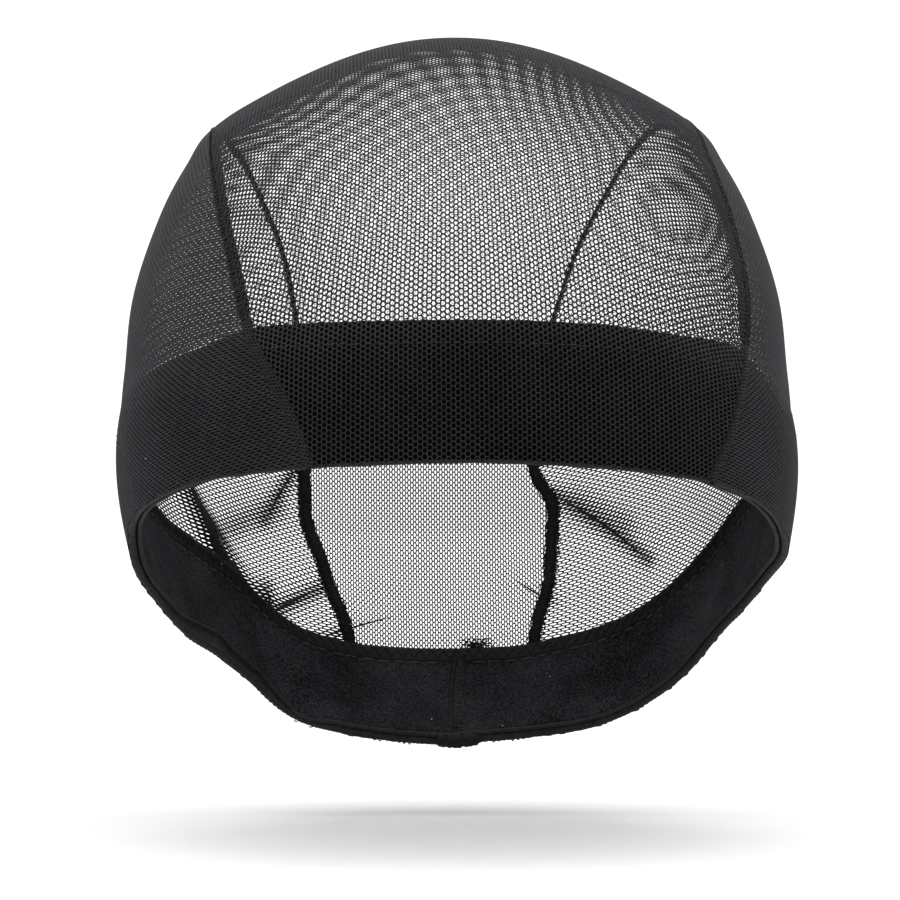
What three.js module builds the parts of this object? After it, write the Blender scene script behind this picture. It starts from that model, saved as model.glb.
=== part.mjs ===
// A stretch net wig cap: three net panels joined by two overlocked seams, an elastic band inside the
// lower edge, and a rolled rim. Millimetres, +Z up, the forehead towards -Y, the wearer's left at +X.
// The origin is the middle of the head ring, where the band grips the head.

import * as THREE from 'three';

// Driving sizes of the head form under the cap
const halfWidth = 78.8;
const frontReach = 89;
const backReach = 95.5;
const crownHeight = 97;
const planSquareness = 2.12;

// Driving sizes of the band
const foreheadHemHeight = 29.5;
const napeHemDepth = 52;
const bandHeight = 33;
const bandSwell = 1.9;
const swellSkew = 0.8;
const rimFlare = 0.6;

// Cloth walls and clearances
const netWall = 1.2;
const elasticWall = 1.5;
const pieceClearance = 0.3;
const layerClearance = 0.6;
const hemInset = 0.9;

// Seams, rolled rim and lapped join
const seamWidth = 3.4;
const seamProud = 0.45;
const seamAllowance = 0.9;
const seamFlank = 0.3;
const allowanceRun = 5;
const rollHeight = 2.6;
const rollProud = 0.35;
const joinAzimuth = 176.5;
const joinWidth = 7;
const joinWall = 0.9;
const joinMargin = 1.2;

// Mesh steps along a seam: up the band at each end, and over the net between the hems.
// The panels share them, and a side panel turns its upper corners at its shoulders.
const bandSteps = 6;
const openSteps = 50;
const shoulderSteps = 9;
const seamSteps = bandSteps + openSteps + bandSteps;

// Mesh steps across the crown panel, round the band, up it, and round the rolled rim
const crownColumns = 12;
const bandColumns = 84;
const bandRows = 4;
const rollSides = 6;
const joinColumns = 2;

const degree = Math.PI / 180;

// Small steps that slopes are taken over, by angle, by height and sideways, and along a seam. Halvings in
// each search. How far under its hem the band's own slope is read, and how near the top the form's is.
const angleStep = 0.004;
const heightStep = 0.25;
const sidewaysStep = 0.3;
const stationStep = 0.01;
const halvings = 48;
const creaseMargin = 0.6;
const topMargin = 1e-7;

// Level sections of the head form. level: share of crownHeight above the origin, of napeHemDepth below.
// side, front, back: how full the section is beside a plain ellipse of the named reach.
const formSections = [
  { level: -1.0, side: 0.915, front: 0.9, back: 0.9 },
  { level: -0.66, side: 0.965, front: 0.95, back: 0.955 },
  { level: -0.29, side: 0.992, front: 0.985, back: 0.985 },
  { level: 0, side: 1, front: 1, back: 1 },
  { level: 0.18, side: 1.004, front: 0.99, back: 1.008 },
  { level: 0.36, side: 1.033, front: 0.978, back: 1.02 },
  { level: 0.52, side: 1.058, front: 0.976, back: 1.038 },
  { level: 0.61, side: 1.082, front: 0.98, back: 1.046 },
  { level: 0.69, side: 1.108, front: 0.985, back: 1.05 },
  { level: 0.77, side: 1.152, front: 0.98, back: 1.05 },
  { level: 0.8, side: 1.148, front: 0.975, back: 1.048 },
  { level: 0.865, side: 1.106, front: 0.96, back: 1.04 },
  { level: 0.935, side: 1.062, front: 0.94, back: 1.02 },
  { level: 1, side: 1.04, front: 0.93, back: 1 },
];

// Stations of the band round the head. azimuth: degrees from the forehead, plus towards +X.
// hem: height of its upper edge, 0 at the nape hem and 1 at the forehead hem.
// height: share of bandHeight. lean: degrees that the rim is drawn in under the hem.
const bandStations = [
  { azimuth: -180, hem: 0, height: 1, lean: 49 },
  { azimuth: -168, hem: 0.012, height: 1, lean: 49 },
  { azimuth: -155, hem: 0.073, height: 1, lean: 43 },
  { azimuth: -147, hem: 0.19, height: 1, lean: 28 },
  { azimuth: -140, hem: 0.294, height: 1, lean: 24 },
  { azimuth: -130, hem: 0.374, height: 1, lean: 24 },
  { azimuth: -118, hem: 0.456, height: 1, lean: 20 },
  { azimuth: -105, hem: 0.57, height: 1, lean: 14 },
  { azimuth: -92, hem: 0.683, height: 1, lean: 7 },
  { azimuth: -78, hem: 0.804, height: 1, lean: 2 },
  { azimuth: -65, hem: 0.868, height: 1, lean: -2 },
  { azimuth: -50, hem: 0.923, height: 0.99, lean: -6 },
  { azimuth: -35, hem: 0.984, height: 1.04, lean: -9 },
  { azimuth: -18, hem: 0.996, height: 1.02, lean: -12 },
  { azimuth: 0, hem: 1, height: 1.01, lean: -13 },
  { azimuth: 18, hem: 0.99, height: 1.02, lean: -12 },
  { azimuth: 35, hem: 0.961, height: 1.025, lean: -9 },
  { azimuth: 47, hem: 0.941, height: 1.085, lean: -6 },
  { azimuth: 56, hem: 0.877, height: 1.025, lean: -3 },
  { azimuth: 65, hem: 0.8, height: 0.95, lean: 0 },
  { azimuth: 80, hem: 0.734, height: 0.99, lean: 2.5 },
  { azimuth: 92, hem: 0.668, height: 1, lean: 7 },
  { azimuth: 104, hem: 0.577, height: 1, lean: 11 },
  { azimuth: 116, hem: 0.479, height: 1, lean: 14 },
  { azimuth: 127, hem: 0.344, height: 1, lean: 17 },
  { azimuth: 138, hem: 0.196, height: 1, lean: 28 },
  { azimuth: 147, hem: 0.104, height: 1, lean: 38 },
  { azimuth: 156, hem: 0.05, height: 1, lean: 45 },
  { azimuth: 168, hem: 0.006, height: 1, lean: 50 },
  { azimuth: 180, hem: 0, height: 1, lean: 49 },
];

// Stations of the two seams over the top. over: degrees from the forehead level over the crown to the nape.
// left, right: distance of each seam from the middle plane, as a share of halfWidth.
const seamStations = [
  { over: -10, left: 0.432, right: 0.66 },
  { over: 5, left: 0.51, right: 0.746 },
  { over: 20, left: 0.622, right: 0.794 },
  { over: 36, left: 0.673, right: 0.812 },
  { over: 54, left: 0.713, right: 0.778 },
  { over: 72, left: 0.73, right: 0.708 },
  { over: 90, left: 0.722, right: 0.673 },
  { over: 110, left: 0.678, right: 0.622 },
  { over: 130, left: 0.591, right: 0.539 },
  { over: 150, left: 0.489, right: 0.425 },
  { over: 170, left: 0.438, right: 0.335 },
  { over: 182, left: 0.435, right: 0.318 },
  { over: 190, left: 0.432, right: 0.382 },
  { over: 200, left: 0.368, right: 0.368 },
  { over: 211, left: 0.282, right: 0.313 },
  { over: 232, left: 0.215, right: 0.275 },
];

// Folds of the slack net behind the ears and beside the back seams, drawn in or out along a line.
// from, to: azimuth in degrees and level as a share of napeHemDepth. depth: share of foldDepth, minus is
// inward. width: share of foldHalfWidth. A fold's depth tapers towards both ends.
const foldDepth = 3;
const foldHalfWidth = 4;
const foldTaper = 0.5;
const folds = [
  { from: [-122, 0.3], to: [-146, -0.62], depth: -1, width: 0.9 },
  { from: [-150, -0.05], to: [-139, -0.3], depth: -0.6, width: 1 },
  { from: [-147, -0.72], to: [-160, -0.5], depth: -0.7, width: 0.9 },
  { from: [-162, -0.78], to: [-174, -0.62], depth: -0.5, width: 0.8 },
  { from: [159, -0.1], to: [138, -0.42], depth: -1, width: 1.1 },
  { from: [168, -0.6], to: [161, -0.68], depth: -0.4, width: 0.8 },
];

// A smooth curve through one column of a table, with no overshoot between its rows
function columnCurve(rows, along, name) {
  const place = rows.map((row) => row[along]);
  const value = rows.map((row) => row[name]);
  const span = place.slice(1).map((p, i) => p - place[i]);
  const rise = span.map((s, i) => (value[i + 1] - value[i]) / s);
  const slope = value.map((_, i) => {
    if (i === 0 || i === value.length - 1 || rise[i - 1] * rise[i] <= 0) return 0;
    const before = 2 * span[i] + span[i - 1];
    const after = span[i] + 2 * span[i - 1];
    return (before + after) / (before / rise[i - 1] + after / rise[i]);
  });
  return (x) => {
    const held = Math.min(Math.max(x, place[0]), place[place.length - 1]);
    let i = 0;
    while (i < span.length - 1 && held > place[i + 1]) i += 1;
    const t = (held - place[i]) / span[i];
    const u = 1 - t;
    return value[i] * u * u * (1 + 2 * t) + value[i + 1] * t * t * (3 - 2 * t)
      + span[i] * t * u * (slope[i] * u - slope[i + 1] * t);
  };
}

const sideFullness = columnCurve(formSections, 'level', 'side');
const frontFullness = columnCurve(formSections, 'level', 'front');
const backFullness = columnCurve(formSections, 'level', 'back');
const hemShare = columnCurve(bandStations, 'azimuth', 'hem');
const heightShare = columnCurve(bandStations, 'azimuth', 'height');
const leanDegrees = columnCurve(bandStations, 'azimuth', 'lean');
const seamShare = {
  left: columnCurve(seamStations, 'over', 'left'),
  right: columnCurve(seamStations, 'over', 'right'),
};
const sideSign = { left: -1, right: 1 };

const mix = (a, b, t) => a + (b - a) * t;
const clamp = (x, low, high) => Math.min(Math.max(x, low), high);
const turned = (azimuth) => (azimuth + 3 * Math.PI) % (2 * Math.PI) - Math.PI;

// Height of the band's upper edge at an azimuth
const hemLevel = (azimuth) => mix(-napeHemDepth, foreheadHemHeight, hemShare(turned(azimuth) / degree));
const wallLength = (azimuth) => bandHeight * heightShare(turned(azimuth) / degree);
const lean = (azimuth) => leanDegrees(turned(azimuth) / degree) * degree;

// Height on the band at a distance above its rim, measured up the wall
const levelAboveRim = (azimuth, rise) => (
  hemLevel(azimuth) - (wallLength(azimuth) - rise) * Math.cos(lean(azimuth))
);

// Radius of the bare head form at an azimuth and level
function formRadius(azimuth, level) {
  const share = level >= 0 ? Math.min(level / crownHeight, 1 - topMargin) : level / napeHemDepth;
  const dome = level >= 0 ? Math.sqrt(1 - share * share) : 1;
  const across = halfWidth * dome * sideFullness(share);
  const along = Math.cos(azimuth) > 0 ? frontReach * frontFullness(share) : backReach * backFullness(share);
  return ((Math.abs(Math.sin(azimuth)) / across) ** planSquareness
    + (Math.abs(Math.cos(azimuth)) / (along * dome)) ** planSquareness) ** (-1 / planSquareness);
}

// Height of the folds at a place on the wall
function foldHeight(azimuth, level) {
  const arc = (halfWidth + backReach) / 2 * degree;
  let height = 0;
  for (const { from, to, depth, width } of folds) {
    const run = [(to[0] - from[0]) * arc, (to[1] - from[1]) * napeHemDepth];
    const away = [(turned(azimuth) / degree - from[0]) * arc, level - from[1] * napeHemDepth];
    const length = run[0] ** 2 + run[1] ** 2;
    const t = clamp((away[0] * run[0] + away[1] * run[1]) / length, 0, 1);
    const gap = Math.hypot(away[0] - t * run[0], away[1] - t * run[1]) / (foldHalfWidth * width);
    height += foldDepth * depth * Math.exp(-gap * gap) * (1 - (2 * t - 1) ** 4 * foldTaper);
  }
  return height;
}

// Radius of the cap's outer face: the head form down to the hem, then the leaning band
function capRadius(azimuth, level) {
  const hem = hemLevel(azimuth);
  if (level >= hem) {
    const settle = clamp((level - hem) / allowanceRun, 0, 1);
    return formRadius(azimuth, level) + foldHeight(azimuth, level) * settle;
  }
  const down = (hem - level) / (wallLength(azimuth) * Math.cos(lean(azimuth)));
  const swell = bandSwell * Math.sin(Math.PI * Math.min(down, 1) ** swellSkew) + rimFlare * down;
  return formRadius(azimuth, hem) - (hem - level) * Math.tan(lean(azimuth)) + swell;
}

// Point of the outer face by azimuth and level
function wallPoint(azimuth, level) {
  const radius = capRadius(azimuth, level);
  return new THREE.Vector3(radius * Math.sin(azimuth), -radius * Math.cos(azimuth), level);
}

// Point of the outer face at a distance from the middle plane, along a ray over the top
function overPoint(x, over) {
  let near = 0;
  let far = 2 * crownHeight;
  for (let i = 0; i < halvings; i += 1) {
    const reach = (near + far) / 2;
    const y = -reach * Math.cos(over);
    const z = reach * Math.sin(over);
    const within = z < crownHeight && Math.hypot(x, y) < capRadius(Math.atan2(x, -y), z);
    if (within) near = reach;
    else far = reach;
  }
  return new THREE.Vector3(x, -near * Math.cos(over), near * Math.sin(over));
}

// Outward normal of a face given by two parameters
function outward(face, a, b, stepA, stepB) {
  const alongA = face(a + stepA, b).sub(face(a - stepA, b));
  const alongB = face(a, b + stepB).sub(face(a, b - stepB));
  const normal = alongA.cross(alongB).normalize();
  const point = face(a, b);
  return normal.dot(point) < 0 ? normal.negate() : normal;
}

const wallNormal = (azimuth, level) => outward(wallPoint, azimuth, level, angleStep, heightStep);
const overNormal = (x, over) => outward(overPoint, x, over, sidewaysStep, angleStep);

// Bisect for the place between two ends where a test turns from true to false
function turningPoint(from, to, test) {
  let kept = from;
  let lost = to;
  for (let i = 0; i < halvings; i += 1) {
    const middle = (kept + lost) / 2;
    if (test(middle)) kept = middle;
    else lost = middle;
  }
  return kept;
}

const azimuthOf = (point) => Math.atan2(point.x, -point.y);
const overOf = (point) => {
  const angle = Math.atan2(point.z, -point.y);
  return angle < -Math.PI / 2 ? angle + 2 * Math.PI : angle;
};

// A seam line, or a line beside it at a distance towards the side panel, by its station over the top
function besideSeam(side, over, distance) {
  const seamX = (station) => sideSign[side] * halfWidth * seamShare[side](station / degree);
  const point = overPoint(seamX(over), over);
  const [before, after] = [over - stationStep, over + stationStep];
  const along = overPoint(seamX(after), after).sub(overPoint(seamX(before), before));
  const across = along.cross(overNormal(point.x, over)).normalize();
  if (across.x * sideSign[side] < 0) across.negate();
  const moved = point.clone().addScaledVector(across, distance);
  return overPoint(moved.x, overOf(moved));
}

// Rise of the panels and the elastic above the rim, which leaves room for the rolled edge
const rollTop = rollHeight + pieceClearance;
const aboveRim = (point) => point.z > levelAboveRim(azimuthOf(point), rollTop);
const aboveHem = (point) => point.z > hemLevel(azimuthOf(point));

// Arcs over the top that hold the rim and the hem, at the forehead and at the nape
const foreheadArc = [40 * degree, -25 * degree];
const napeArc = [188 * degree, 238 * degree];

// Lines that cross the seams, from the forehead to the nape: the mesh step that lies on each, the arc
// where it is sought, and what holds above it
const crossings = [
  { step: 0, search: foreheadArc, holds: aboveRim },
  { step: bandSteps, search: foreheadArc, holds: aboveHem },
  { step: bandSteps + openSteps, search: napeArc, holds: aboveHem },
  { step: seamSteps, search: napeArc, holds: aboveRim },
];

// The line beside a seam, by mesh step
function lineBesideSeam(side, distance) {
  const ends = crossings.map(({ search, holds }) => (
    turningPoint(...search, (over) => holds(besideSeam(side, over, distance)))
  ));
  return (step) => {
    let i = 0;
    while (i < crossings.length - 2 && step > crossings[i + 1].step) i += 1;
    const { step: first } = crossings[i];
    const { step: last } = crossings[i + 1];
    return besideSeam(side, mix(ends[i], ends[i + 1], (step - first) / (last - first)), distance);
  };
}

// A closed wall between an outer grid of points and an inner one, open at its four edges or joined round
function shellGeometry(outer, inner, joinedRound) {
  const rows = outer.length;
  const columns = outer[0].length;
  const positions = [];
  for (const grid of [outer, inner]) {
    for (const row of grid) {
      for (const point of row) positions.push(point.x, point.y, point.z);
    }
  }
  const at = (face, row, column) => face * rows * columns + row * columns + (column % columns);
  const index = [];
  const quad = (a, b, c, d) => index.push(a, b, c, a, c, d);
  const lastColumn = joinedRound ? columns : columns - 1;
  for (let r = 0; r < rows - 1; r += 1) {
    for (let c = 0; c < lastColumn; c += 1) {
      quad(at(0, r, c), at(0, r, c + 1), at(0, r + 1, c + 1), at(0, r + 1, c));
      quad(at(1, r, c), at(1, r + 1, c), at(1, r + 1, c + 1), at(1, r, c + 1));
    }
  }
  for (let c = 0; c < lastColumn; c += 1) {
    quad(at(0, 0, c), at(1, 0, c), at(1, 0, c + 1), at(0, 0, c + 1));
    quad(at(0, rows - 1, c), at(0, rows - 1, c + 1), at(1, rows - 1, c + 1), at(1, rows - 1, c));
  }
  if (!joinedRound) {
    const end = columns - 1;
    for (let r = 0; r < rows - 1; r += 1) {
      quad(at(0, r, 0), at(0, r + 1, 0), at(1, r + 1, 0), at(1, r, 0));
      quad(at(0, r, end), at(1, r, end), at(1, r + 1, end), at(0, r + 1, end));
    }
  }
  const geometry = new THREE.BufferGeometry();
  geometry.setAttribute('position', new THREE.Float32BufferAttribute(positions, 3));
  geometry.setIndex(faceOutwards(positions, index));
  geometry.computeVertexNormals();
  return geometry;
}

// Turn every triangle round where the body comes out inside out
function faceOutwards(positions, index) {
  let volume = 0;
  const corner = (i) => new THREE.Vector3().fromArray(positions, index[i] * 3);
  for (let i = 0; i < index.length; i += 3) {
    volume += corner(i).dot(corner(i + 1).cross(corner(i + 2)));
  }
  if (volume > 0) return index;
  for (let i = 0; i < index.length; i += 3) {
    [index[i + 1], index[i + 2]] = [index[i + 2], index[i + 1]];
  }
  return index;
}

// Fill a four-sided patch from its edges. Each edge is a function of 0 to 1 that gives a pair of numbers.
function patch(u, v, low, high, start, end) {
  const corners = [low(0), low(1), high(0), high(1)];
  return [0, 1].map((k) => mix(start(v)[k], end(v)[k], u) + mix(low(u)[k], high(u)[k], v)
    - mix(mix(corners[0][k], corners[1][k], u), mix(corners[2][k], corners[3][k], u), v));
}

function gridOf(rows, columns, makePoint) {
  return Array.from({ length: rows + 1 }, (_, r) => Array.from(
    { length: columns + 1 },
    (__, c) => makePoint(c / columns, r / rows),
  ));
}

const seamEdge = seamWidth / 2 + pieceClearance;

// The middle panel: one strip of net from the forehead rim over the crown to the nape rim
function crownPanelGeometry() {
  const place = (point) => [point.x, overOf(point)];
  const leftLine = lineBesideSeam('left', -seamEdge);
  const rightLine = lineBesideSeam('right', -seamEdge);
  const across = crossings.map(({ step, search, holds }) => (u) => {
    if (u === 0) return place(leftLine(step));
    if (u === 1) return place(rightLine(step));
    const x = mix(leftLine(step).x, rightLine(step).x, u);
    return [x, turningPoint(...search, (over) => holds(overPoint(x, over)))];
  });
  const places = crossings.slice(1).flatMap(({ step: last }, i) => {
    const { step: first } = crossings[i];
    const left = (v) => place(leftLine(mix(first, last, v)));
    const right = (v) => place(rightLine(mix(first, last, v)));
    const block = (u, v) => patch(u, v, across[i], across[i + 1], left, right);
    return gridOf(last - first, crownColumns, block).slice(i === 0 ? 0 : 1);
  });
  const outer = places.map((row) => row.map(([x, over]) => overPoint(x, over)));
  const inner = places.map((row, r) => row.map(([x, over], c) => (
    outer[r][c].clone().addScaledVector(overNormal(x, over), -netWall)
  )));
  return shellGeometry(outer, inner, false);
}

// A side panel: from the rim up to its seam, with corners at the rim, the hem and two shoulders on the seam
function sidePanelGeometry(side) {
  const line = lineBesideSeam(side, seamEdge);
  const place = (step) => {
    const point = line(step);
    return [azimuthOf(point), point.z];
  };
  const front = (first, last) => (v) => place(mix(first, last, v));
  const back = (first, last) => (v) => place(seamSteps - mix(first, last, v));
  const roundTheHead = (step, levelAt) => (u) => {
    const azimuth = mix(place(step)[0], place(seamSteps - step)[0], u);
    return [azimuth, levelAt(azimuth)];
  };
  const shoulder = bandSteps + shoulderSteps;
  const columns = openSteps - 2 * shoulderSteps;
  const rim = roundTheHead(0, (azimuth) => levelAboveRim(azimuth, rollTop));
  const hem = roundTheHead(bandSteps, hemLevel);
  const top = (u) => place(mix(shoulder, seamSteps - shoulder, u));
  const band = (u, v) => patch(u, v, rim, hem, front(0, bandSteps), back(0, bandSteps));
  const cap = (u, v) => patch(u, v, hem, top, front(bandSteps, shoulder), back(bandSteps, shoulder));
  const places = [...gridOf(bandSteps, columns, band), ...gridOf(shoulderSteps, columns, cap).slice(1)];
  const outer = places.map((row) => row.map(([azimuth, level]) => wallPoint(azimuth, level)));
  const inner = places.map((row, r) => row.map(([azimuth, level], c) => (
    outer[r][c].clone().addScaledVector(wallNormal(azimuth, level), -netWall)
  )));
  return shellGeometry(outer, inner, false);
}

// A closed strip with a rounded section that follows a line on the cap
function stripGeometry(sections, closedLoop) {
  const positions = [];
  for (const section of sections) {
    for (const point of section) positions.push(point.x, point.y, point.z);
  }
  const sides = sections[0].length;
  const index = [];
  const last = closedLoop ? sections.length : sections.length - 1;
  for (let s = 0; s < last; s += 1) {
    for (let k = 0; k < sides; k += 1) {
      const a = s * sides + k;
      const b = s * sides + ((k + 1) % sides);
      const c = ((s + 1) % sections.length) * sides + ((k + 1) % sides);
      const d = ((s + 1) % sections.length) * sides + k;
      index.push(a, b, c, a, c, d);
    }
  }
  if (!closedLoop) {
    const end = (sections.length - 1) * sides;
    for (let k = 1; k < sides - 1; k += 1) {
      index.push(0, k + 1, k, end, end + k, end + k + 1);
    }
  }
  const geometry = new THREE.BufferGeometry();
  geometry.setAttribute('position', new THREE.Float32BufferAttribute(positions, 3));
  geometry.setIndex(faceOutwards(positions, index));
  geometry.computeVertexNormals();
  return geometry;
}

// An overlocked seam. Over the open net its allowance stands inward, and over the elastic it lies flat.
function seamGeometry(side) {
  const lines = [-seamWidth / 2, seamWidth / 2].map((distance) => lineBesideSeam(side, distance));
  const sections = Array.from({ length: seamSteps + 1 }, (_, step) => {
    const beside = lines.map((line) => line(step));
    const middle = beside[0].clone().add(beside[1]).multiplyScalar(0.5);
    const normal = overNormal(middle.x, overOf(middle));
    const overHem = middle.z - hemLevel(azimuthOf(middle)) - netWall - pieceClearance;
    const inward = netWall + seamAllowance * clamp(overHem / allowanceRun, 0, 1);
    const at = (base, depth) => base.clone().addScaledVector(normal, depth);
    return [
      at(beside[0], -seamFlank), at(middle, seamProud), at(beside[1], -seamFlank),
      at(beside[1], seamFlank - inward), at(middle, -inward), at(beside[0], seamFlank - inward),
    ];
  });
  return stripGeometry(sections, false);
}

// Point at a depth under the band's outer face, at a rise above the rim
function underBand(azimuth, rise, depth) {
  const level = levelAboveRim(azimuth, rise);
  const normal = wallNormal(azimuth, Math.min(level, hemLevel(azimuth) - creaseMargin));
  return wallPoint(azimuth, level).addScaledVector(normal, -depth);
}

const elasticDepth = netWall + layerClearance;
const bandThickness = elasticDepth + elasticWall;

// The elastic: one flat loop of band, sewn inside the net from the hem down to the rolled rim
function elasticGeometry() {
  const ringAt = (depth) => Array.from({ length: bandRows + 1 }, (_, r) => Array.from(
    { length: bandColumns },
    (__, c) => {
      const azimuth = c / bandColumns * 2 * Math.PI - Math.PI;
      return underBand(azimuth, mix(rollTop, wallLength(azimuth) - hemInset, r / bandRows), depth);
    },
  ));
  return shellGeometry(ringAt(elasticDepth), ringAt(bandThickness), true);
}

// The rim: the net rolled round the lower edge of the elastic
function rimRollGeometry() {
  const halfDeep = (bandThickness / 2 + rollProud) / Math.cos(Math.PI / rollSides);
  const sections = Array.from({ length: bandColumns }, (_, c) => {
    const azimuth = c / bandColumns * 2 * Math.PI - Math.PI;
    return Array.from({ length: rollSides }, (__, k) => {
      const turn = (k + 0.5) / rollSides * 2 * Math.PI;
      const rise = rollHeight / 2 * (1 + Math.sin(turn));
      return underBand(azimuth, rise, bandThickness / 2 - halfDeep * Math.cos(turn));
    });
  });
  return stripGeometry(sections, true);
}

// The lapped join of the elastic at the nape
function joinGeometry() {
  const nearFace = bandThickness + layerClearance;
  const middle = joinAzimuth * degree;
  const halfTurn = joinWidth / 2 / capRadius(middle, hemLevel(middle));
  const faceAt = (depth) => gridOf(bandRows, joinColumns, (u, v) => {
    const azimuth = middle + mix(-halfTurn, halfTurn, u);
    const rise = mix(rollTop + joinMargin, wallLength(azimuth) - hemInset - joinMargin, v);
    return underBand(azimuth, rise, depth);
  });
  return shellGeometry(faceAt(nearFace), faceAt(nearFace + joinWall), false);
}

const netMaterial = new THREE.MeshStandardMaterial({ color: 0x2b292d, roughness: 0.8, metalness: 0 });
const threadMaterial = new THREE.MeshStandardMaterial({ color: 0x161518, roughness: 0.9, metalness: 0 });
const elasticMaterial = new THREE.MeshStandardMaterial({ color: 0x1a191d, roughness: 0.95, metalness: 0 });

function piece(name, geometry, material) {
  const mesh = new THREE.Mesh(geometry, material.clone());
  mesh.name = name;
  return mesh;
}

const wigCap = new THREE.Group();
wigCap.add(
  piece('crown_panel', crownPanelGeometry(), netMaterial),
  piece('side_panel_left', sidePanelGeometry('left'), netMaterial),
  piece('side_panel_right', sidePanelGeometry('right'), netMaterial),
  piece('seam_left', seamGeometry('left'), threadMaterial),
  piece('seam_right', seamGeometry('right'), threadMaterial),
  piece('elastic_band', elasticGeometry(), elasticMaterial),
  piece('elastic_join', joinGeometry(), elasticMaterial),
  piece('rim_roll', rimRollGeometry(), netMaterial),
);

export default wigCap;
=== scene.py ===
# Looks of a stretch net wig cap: open net panels of real strands, overlocked seams, a plush elastic band
# and a rolled rim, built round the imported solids. Lengths are in millimetres until a mesh is made.

import math

import bpy
import numpy as np
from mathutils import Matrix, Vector


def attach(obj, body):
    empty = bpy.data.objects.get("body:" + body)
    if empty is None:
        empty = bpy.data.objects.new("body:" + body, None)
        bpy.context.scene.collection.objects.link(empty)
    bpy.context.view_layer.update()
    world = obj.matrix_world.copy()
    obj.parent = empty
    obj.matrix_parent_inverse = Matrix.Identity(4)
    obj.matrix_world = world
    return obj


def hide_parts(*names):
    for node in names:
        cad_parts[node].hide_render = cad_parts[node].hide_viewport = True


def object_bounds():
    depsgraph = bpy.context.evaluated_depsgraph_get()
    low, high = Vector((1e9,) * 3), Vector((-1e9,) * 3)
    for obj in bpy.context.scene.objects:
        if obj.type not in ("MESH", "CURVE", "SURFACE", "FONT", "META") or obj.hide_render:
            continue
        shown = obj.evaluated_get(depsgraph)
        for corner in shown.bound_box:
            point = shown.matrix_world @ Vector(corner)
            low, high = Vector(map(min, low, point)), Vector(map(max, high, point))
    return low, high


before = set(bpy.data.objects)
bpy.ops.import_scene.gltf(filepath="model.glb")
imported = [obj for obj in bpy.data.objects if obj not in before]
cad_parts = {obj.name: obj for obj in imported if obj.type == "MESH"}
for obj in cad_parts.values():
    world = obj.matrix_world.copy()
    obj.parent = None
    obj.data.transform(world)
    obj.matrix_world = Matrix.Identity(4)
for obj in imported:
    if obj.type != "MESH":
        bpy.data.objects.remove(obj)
cad_low, cad_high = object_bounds()
METRES = 0.001

# Driving sizes, as shares of the frame's own box
half_width = 0.988 * (cad_high.x - cad_low.x) / 2 / METRES
front_reach = 0.9725 * -cad_low.y / METRES
back_reach = 0.9992 * cad_high.y / METRES
crown_height = 1.0006 * cad_high.z / METRES
nape_hem_depth = 0.7075 * -cad_low.z / METRES
forehead_hem_height = 0.3041 * crown_height
band_height = 0.449 * -cad_low.z / METRES
plan_squareness = 2.12
band_swell = 1.9
rim_flare = 0.6

# Level sections of the head form, as shares: level, side, front, back
FORM_SECTIONS = [
    (-1.0, 0.915, 0.9, 0.9),
    (-0.66, 0.965, 0.95, 0.955),
    (-0.29, 0.992, 0.985, 0.985),
    (0, 1, 1, 1),
    (0.18, 1.004, 0.99, 1.008),
    (0.36, 1.033, 0.978, 1.02),
    (0.52, 1.058, 0.976, 1.038),
    (0.61, 1.082, 0.98, 1.046),
    (0.69, 1.108, 0.985, 1.05),
    (0.77, 1.152, 0.98, 1.05),
    (0.8, 1.148, 0.975, 1.048),
    (0.865, 1.106, 0.96, 1.04),
    (0.935, 1.062, 0.94, 1.02),
    (1, 1.04, 0.93, 1),
]

# Stations of the band round the head: azimuth in degrees from the forehead, share of the hem's rise,
# share of the band's height, lean in degrees
BAND_STATIONS = [
    (-180, 0, 1, 49),
    (-168, 0.012, 1, 49),
    (-155, 0.073, 1, 43),
    (-147, 0.19, 1, 28),
    (-140, 0.294, 1, 24),
    (-130, 0.374, 1, 24),
    (-118, 0.456, 1, 20),
    (-105, 0.57, 1, 14),
    (-92, 0.683, 1, 7),
    (-78, 0.804, 1, 2),
    (-65, 0.868, 1, -2),
    (-50, 0.923, 0.99, -6),
    (-35, 0.984, 1.04, -9),
    (-18, 0.996, 1.02, -12),
    (0, 1, 1.01, -13),
    (18, 0.99, 1.02, -12),
    (35, 0.961, 1.025, -9),
    (47, 0.941, 1.085, -6),
    (56, 0.877, 1.025, -3),
    (65, 0.8, 0.95, 0),
    (80, 0.734, 0.99, 2.5),
    (92, 0.668, 1, 7),
    (104, 0.577, 1, 11),
    (116, 0.479, 1, 14),
    (127, 0.344, 1, 17),
    (138, 0.196, 1, 28),
    (147, 0.104, 1, 38),
    (156, 0.05, 1, 45),
    (168, 0.006, 1, 50),
    (180, 0, 1, 49),
]

# Stations of the seams over the top: degrees from the forehead level, shares of the half width left and right
SEAM_STATIONS = [
    (-10, 0.432, 0.66),
    (5, 0.51, 0.746),
    (20, 0.622, 0.794),
    (36, 0.673, 0.812),
    (54, 0.713, 0.778),
    (72, 0.73, 0.708),
    (90, 0.722, 0.673),
    (110, 0.678, 0.622),
    (130, 0.591, 0.539),
    (150, 0.489, 0.425),
    (170, 0.438, 0.335),
    (182, 0.435, 0.318),
    (190, 0.432, 0.382),
    (200, 0.368, 0.368),
    (211, 0.282, 0.313),
    (232, 0.215, 0.275),
]

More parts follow.
